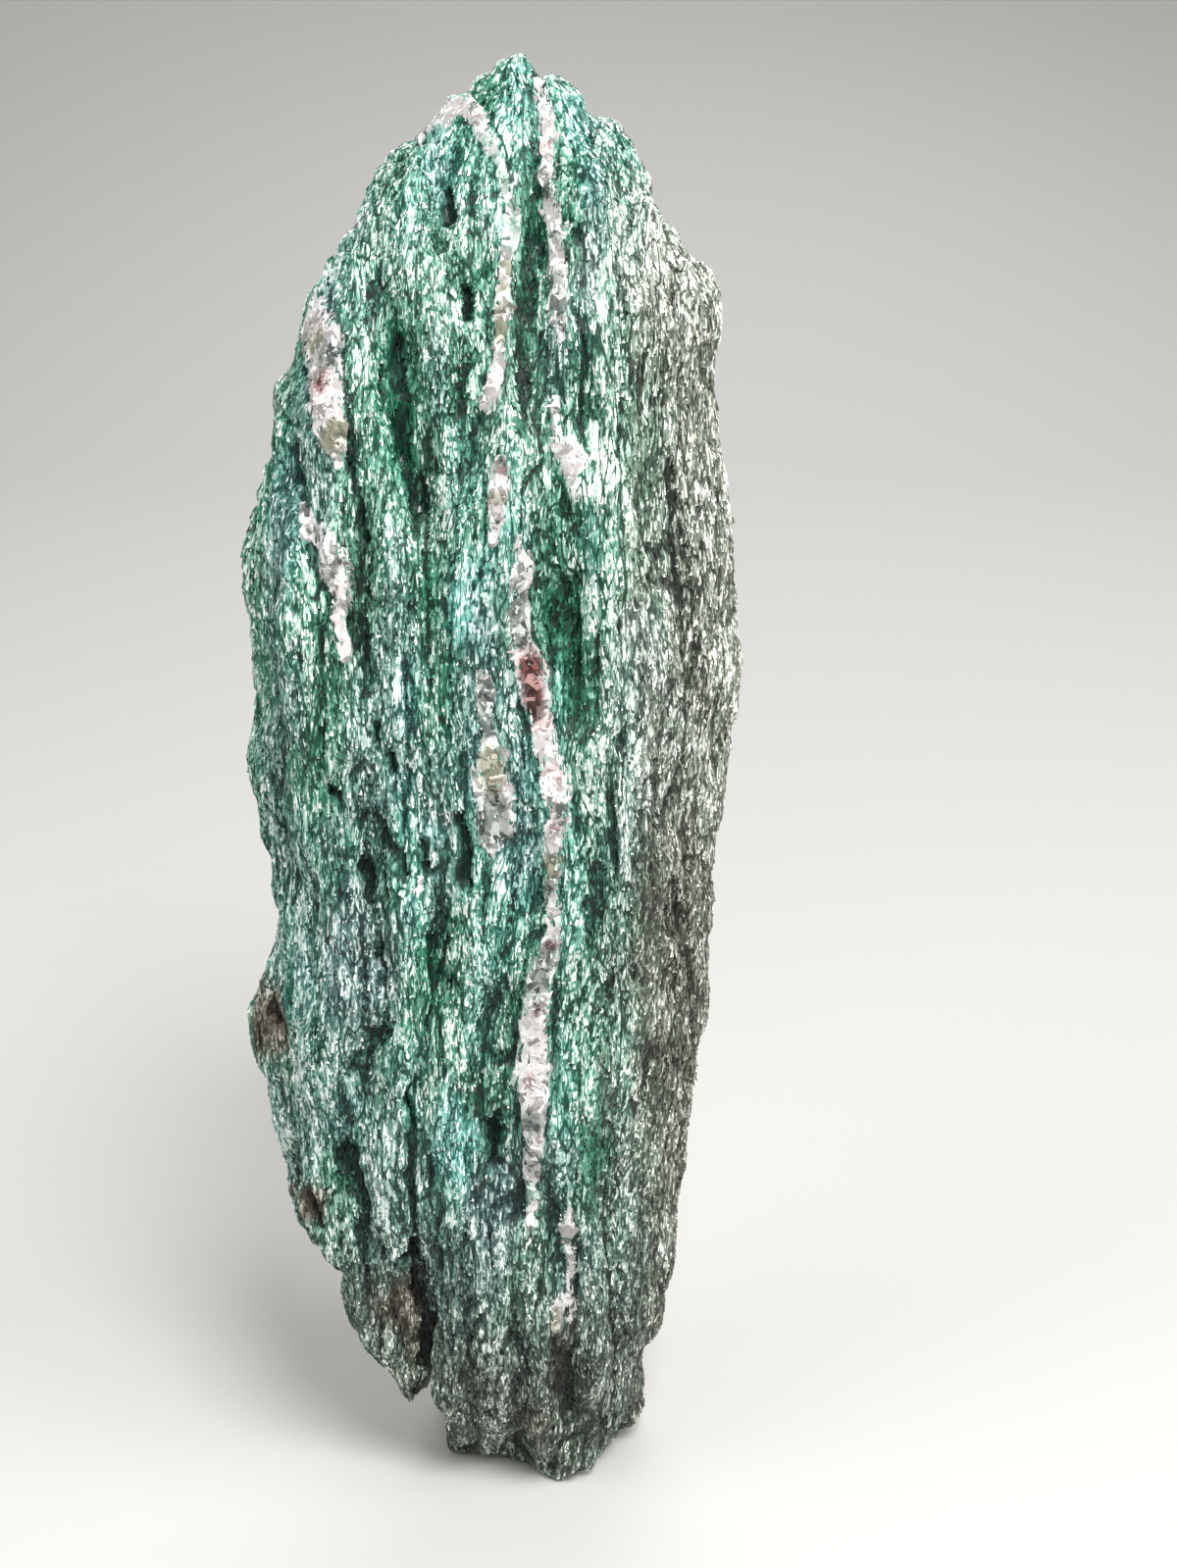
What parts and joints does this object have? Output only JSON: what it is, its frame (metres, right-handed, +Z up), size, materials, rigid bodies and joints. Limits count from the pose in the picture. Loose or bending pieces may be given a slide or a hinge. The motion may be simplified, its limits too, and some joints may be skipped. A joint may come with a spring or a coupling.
{
  "type": "fuchsite boulder",
  "caption": "Upright rough boulder of green mica schist with pale quartz veins, ribbed split faces, a low fin and a small flat foot it stands on.",
  "frame": {"origin": "on the surface the stone stands on, at the middle of the stone's bounding box in plan", "axes": "+Z up along the length of the stone, +X to the right of the veined front face, -Y towards whoever looks at that face"},
  "size_m": [0.0846, 0.071, 0.2493],
  "materials": {
    "fuchsite_schist": "rough split mica schist with a silky flake glint"
  },
  "bodies": {
    "root": {"boulder": "fuchsite_schist"}
  },
  "joints": []
}
